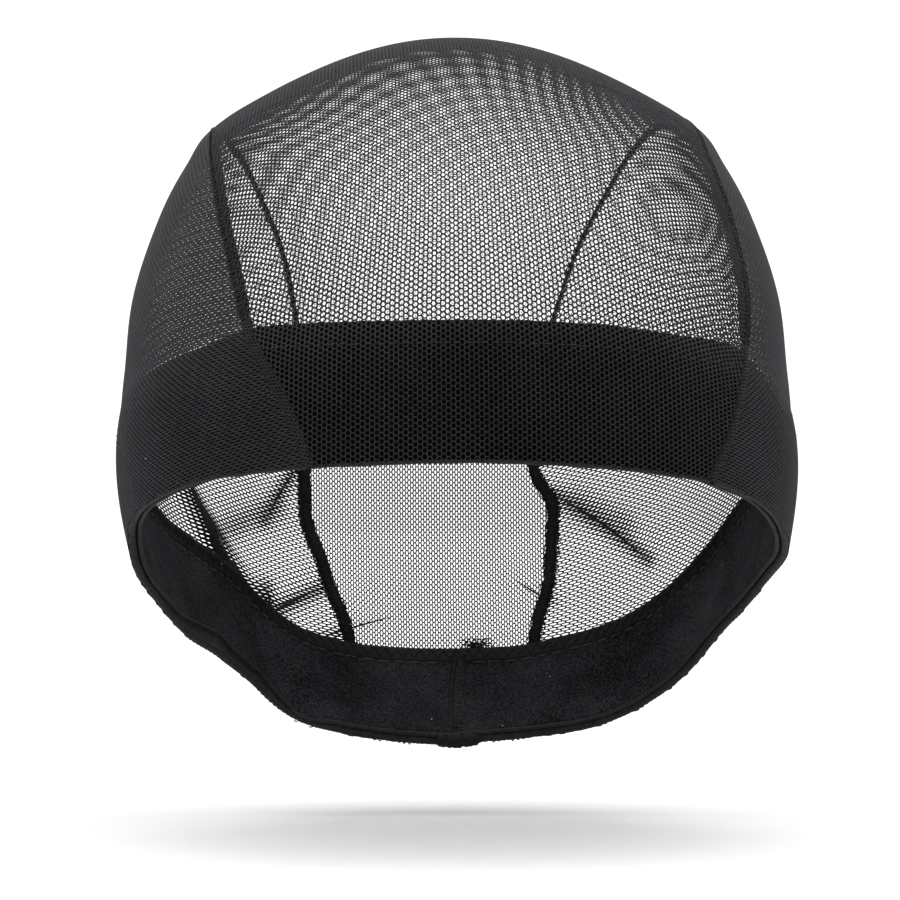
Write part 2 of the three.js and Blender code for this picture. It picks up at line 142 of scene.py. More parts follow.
# Folds of the slack net: where each starts and ends (azimuth in degrees, share of the nape hem's depth),
# its depth and its width as shares
FOLD_DEPTH = 3
FOLD_HALF_WIDTH = 4
FOLDS = [
    ((-117, 0.25), (-145, -0.64), -1, 0.9),
    ((-150, -0.05), (-139, -0.3), -0.6, 1),
    ((-147, -0.72), (-160, -0.5), -0.7, 0.9),
    ((-162, -0.78), (-174, -0.62), -0.5, 0.8),
    ((159, -0.1), (138, -0.42), -1, 1.1),
    ((168, -0.6), (161, -0.68), -0.4, 0.8),
]
FOLD_SETTLE = 5
FOLD_FADE = 0.5
RAY_HALVINGS = 27


def column_curve(rows, column):
    """A smooth curve through one column of a table over its first column, with no overshoot."""
    place = np.array([row[0] for row in rows], float)
    value = np.array([row[column] for row in rows], float)
    span = np.diff(place)
    rise = np.diff(value) / span
    slope = np.zeros(len(value))
    for i in range(1, len(value) - 1):
        if rise[i - 1] * rise[i] > 0:
            before = 2 * span[i] + span[i - 1]
            after = span[i] + 2 * span[i - 1]
            slope[i] = (before + after) / (before / rise[i - 1] + after / rise[i])

    def at(x):
        held = np.clip(x, place[0], place[-1])
        i = np.clip(np.searchsorted(place, held, side="right") - 1, 0, len(span) - 1)
        t = (held - place[i]) / span[i]
        u = 1 - t
        ends = value[i] * u * u * (1 + 2 * t) + value[i + 1] * t * t * (3 - 2 * t)
        return ends + span[i] * t * u * (slope[i] * u - slope[i + 1] * t)

    return at


side_fullness = column_curve(FORM_SECTIONS, 1)
front_fullness = column_curve(FORM_SECTIONS, 2)
back_fullness = column_curve(FORM_SECTIONS, 3)
hem_share = column_curve(BAND_STATIONS, 1)
height_share = column_curve(BAND_STATIONS, 2)
lean_degrees = column_curve(BAND_STATIONS, 3)
seam_share = {-1: column_curve(SEAM_STATIONS, 1), 1: column_curve(SEAM_STATIONS, 2)}


def turned(azimuth):
    return np.mod(azimuth + 3 * np.pi, 2 * np.pi) - np.pi


def hem_level(azimuth):
    share = hem_share(np.degrees(turned(azimuth)))
    return -nape_hem_depth + (forehead_hem_height + nape_hem_depth) * share


def wall_length(azimuth):
    return band_height * height_share(np.degrees(turned(azimuth)))


def lean(azimuth):
    return np.radians(lean_degrees(np.degrees(turned(azimuth))))


def level_above_rim(azimuth, rise):
    """Height on the band at a distance above its rim, measured up the wall."""
    return hem_level(azimuth) - (wall_length(azimuth) - rise) * np.cos(lean(azimuth))


def form_radius(azimuth, level):
    share = np.where(level >= 0, np.minimum(level / crown_height, 1 - 1e-7), level / nape_hem_depth)
    dome = np.where(level >= 0, np.sqrt(np.maximum(1 - share * share, 0)), 1)
    across = half_width * dome * side_fullness(share)
    facing_front = np.cos(azimuth) > 0
    reach = np.where(facing_front, front_reach * front_fullness(share), back_reach * back_fullness(share))
    sideways = (np.abs(np.sin(azimuth)) / across) ** plan_squareness
    lengthways = (np.abs(np.cos(azimuth)) / (reach * dome)) ** plan_squareness
    return (sideways + lengthways) ** (-1 / plan_squareness)


def nearness(azimuth, level, start, end, half):
    """Share of the way along a straight crease on the wall, and how near it is, from 0 to 1."""
    arc = math.radians((half_width + back_reach) / 2)
    run_a = (end[0] - start[0]) * arc
    run_b = (end[1] - start[1]) * nape_hem_depth
    away_a = (np.degrees(turned(azimuth)) - start[0]) * arc
    away_b = level - start[1] * nape_hem_depth
    t = np.clip((away_a * run_a + away_b * run_b) / (run_a**2 + run_b**2), 0, 1)
    gap = np.hypot(away_a - t * run_a, away_b - t * run_b) / half
    return t, np.exp(-gap * gap)


def fold_height(azimuth, level):
    height = np.zeros(np.broadcast(azimuth, level).shape)
    for start, end, depth, width in FOLDS:
        t, near = nearness(azimuth, level, start, end, FOLD_HALF_WIDTH * width)
        height += FOLD_DEPTH * depth * near * (1 - FOLD_FADE * (2 * t - 1) ** 4)
    return height


def cap_radius(azimuth, level):
    """Radius of the cap's outer face: the head form down to the hem, then the leaning band."""
    hem = hem_level(azimuth)
    settle = np.clip((level - hem) / FOLD_SETTLE, 0, 1)
    dome = form_radius(azimuth, np.maximum(level, hem)) + fold_height(azimuth, level) * settle
    tilt = lean(azimuth)
    down = np.maximum(hem - level, 0) / (wall_length(azimuth) * np.cos(tilt))
    swell = band_swell * np.sin(np.pi * np.minimum(down, 1) ** 0.8) + rim_flare * down
    return dome + np.where(level < hem, swell - (hem - level) * np.tan(tilt), 0)


def on_ray(base, direction):
    """Where rays from points on the middle axis line meet the cap's outer face."""
    near = np.zeros(len(direction))
    far = np.full(len(direction), 2 * crown_height)
    for _ in range(RAY_HALVINGS):
        reach = (near + far) / 2
        point = base + direction * reach[:, None]
        radius = cap_radius(np.arctan2(point[:, 0], -point[:, 1]), np.minimum(point[:, 2], crown_height))
        within = (point[:, 2] < crown_height) & (np.hypot(point[:, 0], point[:, 1]) < radius)
        near = np.where(within, reach, near)
        far = np.where(within, far, reach)
    return base + direction * near[:, None]


def over_point(x, over):
    """Points of the outer face at a distance from the middle plane, by their angle over the top."""
    x, over = np.broadcast_arrays(np.asarray(x, float), np.asarray(over, float))
    base = np.stack([x.ravel(), np.zeros(x.size), np.zeros(x.size)], 1)
    direction = np.stack([np.zeros(x.size), -np.cos(over.ravel()), np.sin(over.ravel())], 1)
    return on_ray(base, direction).reshape(*x.shape, 3)


def wall_point(azimuth, level):
    radius = cap_radius(azimuth, level)
    return np.stack([radius * np.sin(azimuth), -radius * np.cos(azimuth), level + 0 * azimuth], -1)


def unit(vectors):
    return vectors / np.maximum(np.linalg.norm(vectors, axis=-1, keepdims=True), 1e-12)


AZIMUTH_STEP = 0.004
LEVEL_STEP = 0.25


def wall_normal(azimuth, level):
    along_azimuth = wall_point(azimuth + AZIMUTH_STEP, level) - wall_point(azimuth - AZIMUTH_STEP, level)
    along_level = wall_point(azimuth, level + LEVEL_STEP) - wall_point(azimuth, level - LEVEL_STEP)
    return unit(np.cross(along_azimuth, along_level))


def under_band(azimuth, rise, depth):
    """Points at a depth under the band's outer face, at a rise above the rim."""
    level = level_above_rim(azimuth, rise)
    normal = wall_normal(azimuth, np.minimum(level, hem_level(azimuth) - 0.6))
    return wall_point(azimuth, level) - normal * np.asarray(depth, float)[..., None]


def azimuth_of(points):
    return np.arctan2(points[..., 0], -points[..., 1])


def over_of(points):
    angle = np.arctan2(points[..., 2], -points[..., 1])
    return np.where(angle < -np.pi / 2, angle + 2 * np.pi, angle)


def seam_x(side, over):
    return side * half_width * seam_share[side](np.degrees(over))


# The two waves that make a ripple uneven: pace and phase beside the first wave's
RIPPLE_PARTS = ((1.63, 2.1), (0.57, 3.7))


def ripple(x, length, phase):
    """Soft uneven waves from -1 to 1, about as long as asked."""
    turn = 2 * np.pi / length
    waves = np.sin(turn * x + phase)
    for pace, shift in RIPPLE_PARTS:
        waves = waves + np.sin(pace * turn * x + shift * phase)
    return waves / (1 + len(RIPPLE_PARTS))


class Face:
    """The cap's outer face over a grid of two parameters, read back smoothly between its points."""

    def __init__(self, first, second, points):
        self.first, self.second, self.points = first, second, points
        along_first = np.gradient(points, axis=0)
        along_second = np.gradient(points, axis=1)
        normals = unit(np.cross(along_first, along_second))
        inward = np.sum(normals * points, -1, keepdims=True) < 0
        self.normals = np.where(inward, -normals, normals)

    def at(self, a, b):
        i = np.clip((a - self.first[0]) / (self.first[1] - self.first[0]), 0, len(self.first) - 1.001)
        j = np.clip((b - self.second[0]) / (self.second[1] - self.second[0]), 0, len(self.second) - 1.001)
        i0, j0 = i.astype(int), j.astype(int)
        fi, fj = (i - i0)[:, None], (j - j0)[:, None]

        def read(grid):
            low = grid[i0, j0] * (1 - fj) + grid[i0, j0 + 1] * fj
            high = grid[i0 + 1, j0] * (1 - fj) + grid[i0 + 1, j0 + 1] * fj
            return low * (1 - fi) + high * fi

        return read(self.points), unit(read(self.normals))


class Line:
    """A line on the cap with a frame at each place: along it, across it and outwards."""

    def __init__(self, points, normals):
        self.points, self.normals = points, unit(normals)
        step = np.linalg.norm(np.diff(points, axis=0), axis=1)
        self.along = np.concatenate([[0], np.cumsum(step)])
        self.length = self.along[-1]
        tangent = unit(np.gradient(points, axis=0))
        self.across = unit(np.cross(tangent, self.normals))

    def read(self, grid, s):
        return np.stack([np.interp(s, self.along, grid[:, k]) for k in range(3)], -1)

    def place(self, s, across, out):
        """Points at distances along the line, across it and out from the face."""
        s, across, out = np.broadcast_arrays(np.asarray(s, float), across, out)
        moved = self.read(self.points, s) + self.read(self.across, s) * across[..., None]
        return moved + self.read(self.normals, s) * out[..., None]


def outward(points, faces):
    """The faces turned to point out of a closed form, or away from the head's middle on an open one."""
    a, b, c, d = (points[faces[:, k]] for k in range(4))
    volume = np.sum(a * np.cross(b, c)) + np.sum(a * np.cross(c, d))
    return faces if volume > 0 else faces[:, ::-1]


def make_object(name, points, faces, material, uv=None):
    """An object from points in millimetres and a list of four-sided faces."""
    mesh = bpy.data.meshes.new(name)
    mesh.vertices.add(len(points))
    mesh.vertices.foreach_set("co", (points * METRES).astype(np.float32).ravel())
    mesh.loops.add(faces.size)
    mesh.loops.foreach_set("vertex_index", faces.astype(np.int32).ravel())
    mesh.polygons.add(len(faces))
    mesh.polygons.foreach_set("loop_start", np.arange(0, faces.size, 4, dtype=np.int32))
    mesh.polygons.foreach_set("use_smooth", np.ones(len(faces), bool))
    if uv is not None:
        layer = mesh.uv_layers.new(name="OFBake")
        layer.data.foreach_set("uv", uv[faces.ravel()].astype(np.float32).ravel())
    mesh.update()
    mesh.validate()
    mesh.materials.append(material)
    made = bpy.data.objects.new(name, mesh)
    bpy.context.scene.collection.objects.link(made)
    return made


THREAD_END_SHARE = 0.35


def tubes(paths, radius, sides=5):
    """Points and faces of round threads that thin at their ends, from paths of equally many points."""
    count, steps = paths.shape[:2]
    tangent = unit(np.gradient(paths, axis=1))
    side_way = unit(np.cross(tangent, unit(paths)))
    out_way = unit(np.cross(side_way, tangent))
    turn = np.arange(sides) / sides * 2 * np.pi
    radius = np.broadcast_to(np.asarray(radius, float), (count, steps)).copy()
    radius[:, [0, -1]] *= THREAD_END_SHARE
    ring = side_way[:, :, None] * np.cos(turn)[None, None, :, None]
    ring = ring + out_way[:, :, None] * np.sin(turn)[None, None, :, None]
    points = (paths[:, :, None] + ring * radius[:, :, None, None]).reshape(-1, 3)
    k, s, c = np.meshgrid(np.arange(sides), np.arange(steps - 1), np.arange(count), indexing="ij")
    k, s, c = k.ravel(), s.ravel(), c.ravel()
    after = (k + 1) % sides

    def at(step, side):
        return (c * steps + step) * sides + side

    return points, outward(points, np.stack([at(s, k), at(s + 1, k), at(s + 1, after), at(s, after)], 1))


def strip(grid, closed_round=False, closed_along=False):
    """Points and faces of a grid of places, steps along it by places round it."""
    steps, places = grid.shape[:2]
    last_step = steps if closed_along else steps - 1
    last_place = places if closed_round else places - 1
    s, k = np.meshgrid(np.arange(last_step), np.arange(last_place), indexing="ij")
    s, k = s.ravel(), k.ravel()
    on, round_on = (s + 1) % steps, (k + 1) % places
    faces = np.stack([s * places + k, s * places + round_on, on * places + round_on, on * places + k], 1)
    points = grid.reshape(-1, 3)
    return points, outward(points, faces)


def join(*parts):
    """Several sets of points and faces as one."""
    points, faces, start = [], [], 0
    for some_points, some_faces in parts:
        points.append(some_points)
        faces.append(some_faces + start)
        start += len(some_points)
    return np.concatenate(points), np.concatenate(faces)


def set_sockets(node, **values):
    for name, value in values.items():
        node.inputs[name.replace("_", " ")].default_value = value


SHEEN_TINT = (0.9, 0.9, 1, 1)
WIDE_PATCHES = 60
WIDE_SHARE = 0.35
LINT_SCALE = 400
LINT_SIZE = 0.07
LINT_COLOUR = (0.3, 0.3, 0.32, 1)
BUMP_DEPTH = 0.0003


def cloth_material(name, dark, light, tones, grain, bump, roughness, sheen, specular, specks):
    """Black cloth: two tones mixed by fine fibres and wide patches, lint specks, a fibre bump and a sheen."""
    material = bpy.data.materials.new(name)
    material.use_nodes = True
    nodes, links = material.node_tree.nodes, material.node_tree.links
    shader = nodes["Principled BSDF"]
    set_sockets(shader, Roughness=roughness, Specular_IOR_Level=specular)
    set_sockets(shader, Sheen_Weight=sheen, Sheen_Roughness=0.45, Sheen_Tint=SHEEN_TINT)
    place = nodes.new("ShaderNodeTexCoord")
    fibre = nodes.new("ShaderNodeTexNoise")
    set_sockets(fibre, Scale=grain, Detail=4, Roughness=0.65)
    wide = nodes.new("ShaderNodeTexNoise")
    set_sockets(wide, Scale=WIDE_PATCHES, Detail=2)
    blend = nodes.new("ShaderNodeMath")
    blend.operation = "MULTIPLY_ADD"
    blend.inputs[1].default_value = WIDE_SHARE
    tone = nodes.new("ShaderNodeValToRGB")
    tone.color_ramp.elements[0].position = tones[0]
    tone.color_ramp.elements[0].color = (*dark, 1)
    tone.color_ramp.elements[1].position = tones[1]
    tone.color_ramp.elements[1].color = (*light, 1)
    lint = nodes.new("ShaderNodeTexVoronoi")
    set_sockets(lint, Scale=LINT_SCALE)
    chance = nodes.new("ShaderNodeSeparateColor")
    near = nodes.new("ShaderNodeMath")
    near.operation = "LESS_THAN"
    near.inputs[1].default_value = LINT_SIZE
    rare = nodes.new("ShaderNodeMath")
    rare.operation = "LESS_THAN"
    rare.inputs[1].default_value = specks
    lit = nodes.new("ShaderNodeMath")
    lit.operation = "MULTIPLY"
    speckled = nodes.new("ShaderNodeMixRGB")
    set_sockets(speckled, Color2=LINT_COLOUR)
    raised = nodes.new("ShaderNodeBump")
    set_sockets(raised, Strength=bump, Distance=BUMP_DEPTH)
    for texture in (fibre, wide, lint):
        links.new(place.outputs["Object"], texture.inputs["Vector"])
    links.new(wide.outputs["Fac"], blend.inputs[0])
    links.new(fibre.outputs["Fac"], blend.inputs[2])
    links.new(blend.outputs[0], tone.inputs["Fac"])
    links.new(lint.outputs["Distance"], near.inputs[0])
    links.new(lint.outputs["Color"], chance.inputs[0])
    links.new(chance.outputs[0], rare.inputs[0])
    links.new(near.outputs[0], lit.inputs[0])
    links.new(rare.outputs[0], lit.inputs[1])
    links.new(lit.outputs[0], speckled.inputs["Fac"])
    links.new(tone.outputs["Color"], speckled.inputs["Color1"])
    links.new(speckled.outputs["Color"], shader.inputs["Base Color"])
    links.new(fibre.outputs["Fac"], raised.inputs["Height"])
    links.new(raised.outputs["Normal"], shader.inputs["Normal"])
    return material


net_material = cloth_material(
    "net_yarn", (0.0045, 0.0042, 0.005), (0.0185, 0.017, 0.0198), (0.4, 0.85),
    grain=900, bump=0.3, roughness=0.65, sheen=0.02, specular=0.09, specks=0.02,
)
thread_material = cloth_material(
    "seam_yarn", (0.0014, 0.0014, 0.0018), (0.011, 0.0108, 0.012), (0.5, 0.9),
    grain=1500, bump=0.4, roughness=0.65, sheen=0.03, specular=0.1, specks=0.1,
)
stitch_material = cloth_material(
    "stitch_yarn", (0.011, 0.0105, 0.012), (0.044, 0.0425, 0.047), (0.4, 0.85),
    grain=1500, bump=0.4, roughness=0.6, sheen=0.04, specular=0.15, specks=0.02,
)
elastic_material = cloth_material(
    "plush", (0.001, 0.001, 0.0014), (0.03, 0.03, 0.034), (0.56, 0.9),
    grain=1900, bump=0.9, roughness=0.95, sheen=0.02, specular=0.05, specks=0.06,
)


def paint_shade_under_net(material, share):
    """Painted shade under the net: the cloth's colour is darkened on the faces that point away from the head.
    """
    nodes, links = material.node_tree.nodes, material.node_tree.links
    colour = nodes["Principled BSDF"].inputs["Base Color"]
    place = nodes.new("ShaderNodeNewGeometry")
    facing = nodes.new("ShaderNodeVectorMath")
    facing.operation = "DOT_PRODUCT"
    shaded_faces = nodes.new("ShaderNodeMath")
    shaded_faces.operation = "GREATER_THAN"
    shaded_faces.inputs[1].default_value = 0
    painted_shade = nodes.new("ShaderNodeMixRGB")
    painted_shade.blend_type = "MULTIPLY"
    set_sockets(painted_shade, Color2=(share, share, share, 1))
    links.new(place.outputs["Normal"], facing.inputs[0])
    links.new(place.outputs["Position"], facing.inputs[1])
    links.new(facing.outputs["Value"], shaded_faces.inputs[0])
    links.new(shaded_faces.outputs[0], painted_shade.inputs["Fac"])
    links.new(colour.links[0].from_socket, painted_shade.inputs["Color1"])
    links.new(painted_shade.outputs["Color"], colour)


# Painted shade: the elastic's outer face, which lies under the net, is darkened to this share of its colour
UNDER_NET_SHADE_SHARE = 0.12
paint_shade_under_net(elastic_material, UNDER_NET_SHADE_SHARE)

# The camera stands level in front, a little to one side, at the photograph's angle
VIEW_AZIMUTH = math.radians(-3)
VIEW_DISTANCE = 1.1
VIEW_SIDESTEP = -0.0012
SENSOR_WIDTH = 36
LENS = 186.4
camera_data = bpy.data.cameras.new("camera")
camera_data.sensor_width = SENSOR_WIDTH
camera_data.lens = LENS
camera = bpy.data.objects.new("camera", camera_data)
sight = Vector((-math.sin(VIEW_AZIMUTH), math.cos(VIEW_AZIMUTH), 0))
to_the_right = Vector((math.cos(VIEW_AZIMUTH), math.sin(VIEW_AZIMUTH), 0))
camera.location = to_the_right * VIEW_SIDESTEP - sight * VIEW_DISTANCE
camera.rotation_mode = "QUATERNION"
camera.rotation_quaternion = sight.to_track_quat("-Z", "Y")
bpy.context.scene.collection.objects.link(camera)
bpy.context.scene.camera = camera


def finish_piece(made, slot, *nodes):
    """Fix a piece to the cap and hide the solids that it stands for; the finish it is given is not used."""
    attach(made, "root")
    if nodes:
        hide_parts(*nodes)


# The net: cells in upright columns, each column half a cell up from the last
CELL_WIDTH = 1.07
CELL_HEIGHT = 1.35
STRAND_RIDGE = 0.12
STRAND_FLANK = 0.14
SEAM_OVERLAP = 0.25
CORNERS = np.array([(2, 0), (1, 1.5), (-1, 1.5), (-2, 0), (-1, -1.5), (1, -1.5)]) / 3


def net_mesh(columns, rows, cell, to_face, spread, strand, inside):
    """Points, faces and UVs of hexagonal cells. to_face takes columns and rows to points and normals."""
    column_numbers = np.arange(columns[0] - 1, columns[1] + 1)
    i, j = np.meshgrid(column_numbers, np.arange(rows[0] - 1, rows[1] + 1), indexing="ij")
    odd = np.mod(i, 2)
    centre = np.stack([i, j + 0.5 * odd], -1).astype(float)
    inner = np.zeros(i.shape, bool)
    inner[1:-1, 1:-1] = True
    kept = inner & inside(centre[..., 0], centre[..., 1])
    a, b = np.nonzero(kept)
    shift = odd[a, b]
    owners = [(a, b, 0), (a + 1, b + shift, 1), (a - 1, b + shift, 0)]
    owners += [(a, b, 1), (a - 1, b - 1 + shift, 0), (a + 1, b - 1 + shift, 1)]
    node_id = np.stack([(p * i.shape[1] + q) * 2 + end for p, q, end in owners], 1)
    used, node_of = np.unique(node_id, return_inverse=True)
    node_of = node_of.reshape(node_id.shape)
    owner, end = used // 2, used % 2
    node_at = centre.reshape(-1, 2)[owner] + np.where(end[:, None] == 0, (2 / 3, 0), (-2 / 3, 0))
    cell_at = centre[a, b]
    wide = cell[0] * spread(cell_at[:, 1])
    yarn = strand(cell_at[:, 0], cell_at[:, 1])
    slant = wide * 2 / 3 * cell[1] / np.hypot(wide / 3, cell[1] / 2)
    shrink = np.stack([1 - yarn / slant, 1 - yarn / cell[1]], 1)
    hole_at = cell_at[:, None] + CORNERS[None] * shrink[:, None]
    node_points, node_normals = to_face(node_at[:, 0], node_at[:, 1])
    hole_points, hole_normals = to_face(hole_at[..., 0].ravel(), hole_at[..., 1].ravel())
    ridge = node_points + STRAND_RIDGE * node_normals
    flank = hole_points - STRAND_FLANK * hole_normals
    points = np.concatenate([ridge, flank])
    places = np.concatenate([node_at, hole_at.reshape(-1, 2)])
    uv = (places - places.min(0)) / (places.max(0) - places.min(0))
    hole_of = len(used) + np.arange(len(a) * 6).reshape(-1, 6)
    faces = []
    for k in range(6):
        after = (k + 1) % 6
        faces.append(np.stack([node_of[:, k], node_of[:, after], hole_of[:, after], hole_of[:, k]], 1))
    return points, outward(points, np.concatenate(faces)), uv


def net_piece(name, *net):
    points, faces, uv = net_mesh(*net)
    return make_object(name, points, faces, net_material, uv)


# The crown panel, gridded by distance from the middle plane and angle over the top
CROWN_ACROSS = (-68, 70)
CROWN_OVER = (-20, 240)
crown_x = np.linspace(*CROWN_ACROSS, 180)
crown_over = np.radians(np.linspace(*CROWN_OVER, 420))
crown_face = Face(crown_x, crown_over, over_point(crown_x[:, None], crown_over[None, :]))
middle_run = np.linalg.norm(np.diff(crown_face.points[len(crown_x) // 2], axis=0), axis=1)
crown_arc = np.concatenate([[0], np.cumsum(middle_run)])

# The crown net by the angle over the top: how far its columns are drawn together, and its yarn's width
CROWN_WEAVE = [
    (-14, 0.97, 0.28),
    (13, 0.96, 0.28),
    (21, 0.94, 0.4),
    (40, 0.85, 0.355),
    (70, 0.78, 0.32),
    (90, 0.75, 0.34),
    (105, 0.73, 0.17),
    (158, 0.67, 0.14),
    (176, 0.64, 0.27),
    (186, 0.63, 0.35),
    (240, 0.63, 0.36),
]
weave_spread = column_curve(CROWN_WEAVE, 1)
weave_yarn = column_curve(CROWN_WEAVE, 2)


def crown_over_at(row):
    return np.interp(row * CELL_HEIGHT, crown_arc, crown_over)


def crown_spread(row):
    return weave_spread(np.degrees(crown_over_at(row)))


def crown_place(column, row):
    return column * CELL_WIDTH * crown_spread(row), crown_over_at(row)


# In front the yarn lies closer towards the seams
DRAWN_AT = 50
DRAWN_MOST = 1.2
DRAWN_SHARE = 0.3
FRONT_ENDS = 100
FRONT_EASE = 20


def crown_yarn(column, row):
    x, over = crown_place(column, row)
    degrees = np.degrees(over)
    in_front = np.clip((FRONT_ENDS - degrees) / FRONT_EASE, 0, 1)
    aside = np.minimum(np.abs(x) / DRAWN_AT, DRAWN_MOST)
    return weave_yarn(degrees) * (1 + DRAWN_SHARE * in_front * aside**2)


def crown_to_face(column, row):
    x, over = crown_place(column, row)
    return crown_face.at(x, over)


def rim_clear(points, rise):
    return points[..., 2] > level_above_rim(azimuth_of(points), rise)


NET_LOWEST = 0.5


def crown_inside(column, row):
    x, over = crown_place(column, row)
    points, _ = crown_face.at(x.ravel(), over.ravel())
    between = (x > seam_x(-1, over) - SEAM_OVERLAP) & (x < seam_x(1, over) + SEAM_OVERLAP)
    return between & rim_clear(points, NET_LOWEST).reshape(x.shape)


CROWN_COLUMNS = (-100, 110)
CROWN_CUTS = (0, 0.34, 0.62, 1)
crown_rows = int(crown_arc[-1] / CELL_HEIGHT) + 1
crown_cuts = [int(share * crown_rows) for share in CROWN_CUTS]
for number, name in enumerate(("crown_net_front", "crown_net_top", "crown_net_back")):
    made = net_piece(
        name, CROWN_COLUMNS, (crown_cuts[number], crown_cuts[number + 1]), (CELL_WIDTH, CELL_HEIGHT),
        crown_to_face, crown_spread, crown_yarn, crown_inside,
    )
    finish_piece(made, "net", *(["crown_panel"] if number == 0 else []))

# The side panels, gridded flat round a middle point on each side, their wales running round the head
SIDE_MIDDLE_AZIMUTH = math.radians(94)
SIDE_MIDDLE_RISE = math.radians(8)
SIDE_GRAIN = math.radians(-20)
SIDE_ROUND = 84
SIDE_CELL = (0.74, 1.96)
SIDE_COLUMNS = (-164, 164)
SIDE_ROWS = (-66, 66)
SIDE_SPAN = 118
SIDE_REACH = 128
SIDE_GRID = 300
SIDE_BEND = 2.2

# The side net's yarn by the azimuth's size in degrees: drawn close in front, slack towards the nape,
# and slackest high at the back
side_yarn = column_curve([(0, 0.88), (60, 0.88), (88, 0.78), (108, 0.6), (130, 0.49), (180, 0.44)], 1)
SLACK_LEVEL = (16, 36)
SLACK_AZIMUTH = (96, 122)
SLACK_SHARE = 0.6

# Tucks where the slack net is pinched: start and end (azimuth in degrees, share of the nape hem's depth),
# sideways bow, half width of the pinched edge, and reach and strength of the yarn drawn close beside it
TUCKS = [
    ((-127, -0.06), (-150.5, -0.83), 0.6, 1.5, 3, 0.95),
    ((-157.5, -0.08), (-151, -0.34), 0.6, 0.35, 1.9, 0.85),
    ((-153, -0.28), (-141, -0.4), 0, 0, 3.2, 0.5),
    ((-149.5, -0.8), (-160.5, -0.68), 0.8, 0.5, 2, 0.85),
    ((-149.5, -0.67), (-151, -0.8), 0.2, 0.3, 2.3, 0.8),
    ((-158, -0.93), (-173, -0.82), 0.8, 0.25, 1.6, 0.6),
    ((161, -0.22), (143, -0.53), -1, 0.45, 2.1, 0.85),
    ((157, -0.26), (148, -0.36), 0, 0, 3.5, 0.45),
    ((166.5, -0.64), (161, -0.74), 0.3, 0.25, 1.5, 0.5),
]
DRAWN_YARN = 0.86
BAND_YARN = 0.59
BAND_EASE = 3


def side_net_yarn(points):
    azimuth = azimuth_of(points)
    degrees = np.abs(np.degrees(azimuth))
    high = np.clip((points[:, 2] - SLACK_LEVEL[0]) / (SLACK_LEVEL[1] - SLACK_LEVEL[0]), 0, 1)
    behind = np.clip((degrees - SLACK_AZIMUTH[0]) / (SLACK_AZIMUTH[1] - SLACK_AZIMUTH[0]), 0, 1)
    yarn = side_yarn(degrees) * (1 - SLACK_SHARE * high * behind)
    for start, end, _, _, reach, strength in TUCKS:
        _, near = nearness(azimuth, points[:, 2], start, end, reach)
        yarn = yarn + strength * near * (DRAWN_YARN - yarn)
    below = np.clip((hem_level(azimuth) - points[:, 2]) / BAND_EASE, 0, 1)
    return yarn + below * np.minimum(BAND_YARN - yarn, 0)


def side_net(name, side):
    """A side panel's net, gridded flat and bent round the head from the middle of its side."""
    azimuth = side * SIDE_MIDDLE_AZIMUTH
    flat_out = np.array([math.sin(azimuth), -math.cos(azimuth), 0])
    up = np.array([0, 0, 1.0])
    out = flat_out * math.cos(SIDE_MIDDLE_RISE) + up * math.sin(SIDE_MIDDLE_RISE)
    backward = unit(np.cross(up, out)) * side
    upward = unit(np.cross(backward, out)) * -side
    wale = backward * math.cos(SIDE_GRAIN) + upward * math.sin(SIDE_GRAIN)
    course = -backward * math.sin(SIDE_GRAIN) + upward * math.cos(SIDE_GRAIN)
    span = np.linspace(-SIDE_SPAN, SIDE_SPAN, SIDE_GRID)
    p, q = np.meshgrid(span, span, indexing="ij")
    reach = np.maximum(np.hypot(p, q), 1e-9)
    bend = np.minimum(reach / SIDE_ROUND, SIDE_BEND)
    turn_way = (p[..., None] * course + q[..., None] * wale) / reach[..., None]
    direction = np.cos(bend)[..., None] * out + np.sin(bend)[..., None] * turn_way
    flat_direction = direction.reshape(-1, 3)
    met = on_ray(np.zeros_like(flat_direction), flat_direction)
    face = Face(span, span, met.reshape(SIDE_GRID, SIDE_GRID, 3))

    def to_face(column, row):
        return face.at(column * SIDE_CELL[0], row * SIDE_CELL[1])

    def spread(row):
        return np.ones(row.shape)

    def yarn(column, row):
        points, _ = to_face(column, row)
        return side_net_yarn(points)

    def inside(column, row):
        points, _ = to_face(column.ravel(), row.ravel())
        beyond = points[:, 0] * side > seam_x(side, over_of(points)) * side - SEAM_OVERLAP
        near = np.hypot(column * SIDE_CELL[0], row * SIDE_CELL[1]).ravel() < SIDE_REACH
        return (beyond & rim_clear(points, NET_LOWEST) & near).reshape(column.shape)

    return net_piece(name, SIDE_COLUMNS, SIDE_ROWS, SIDE_CELL, to_face, spread, yarn, inside)


finish_piece(side_net("side_net_left", -1), "net", "side_panel_left")
finish_piece(side_net("side_net_right", 1), "net", "side_panel_right")

TUCK_DEPTH = 1.1
TUCK_THICKNESS = 0.35
TUCK_STEP = 0.5
TUCK_PLACES = 10


def tuck_ridge(start, end, bow, half, phase):
    """The pinched edge of a tuck, a soft ribbon that thins at both ends."""
    t = np.linspace(0, 1, 160)
    bend = np.degrees(bow * np.sin(np.pi * t) / half_width)
    azimuth = np.radians(start[0] + (end[0] - start[0]) * t + bend)
    level = (start[1] + (end[1] - start[1]) * t) * nape_hem_depth
    line = Line(wall_point(azimuth, level), wall_normal(azimuth, level))
    s = np.linspace(0, line.length, int(line.length / TUCK_STEP) + 4)
    taper = np.clip(np.sin(np.pi * s / line.length), 0, 1) ** 0.8
    wide = half * taper * (0.92 + 0.2 * ripple(s, 9, phase)) + 0.02
    drift = 0.3 * half * ripple(s, 31, phase + 1)
    section = []
    for turn in np.arange(TUCK_PLACES) / TUCK_PLACES * 2 * np.pi:
        out = -TUCK_DEPTH + TUCK_THICKNESS * np.minimum(wide, 1) * math.sin(turn)
        section.append(line.place(s, drift + wide * math.cos(turn), out))
    return strip(np.stack(section, 1), closed_round=True)


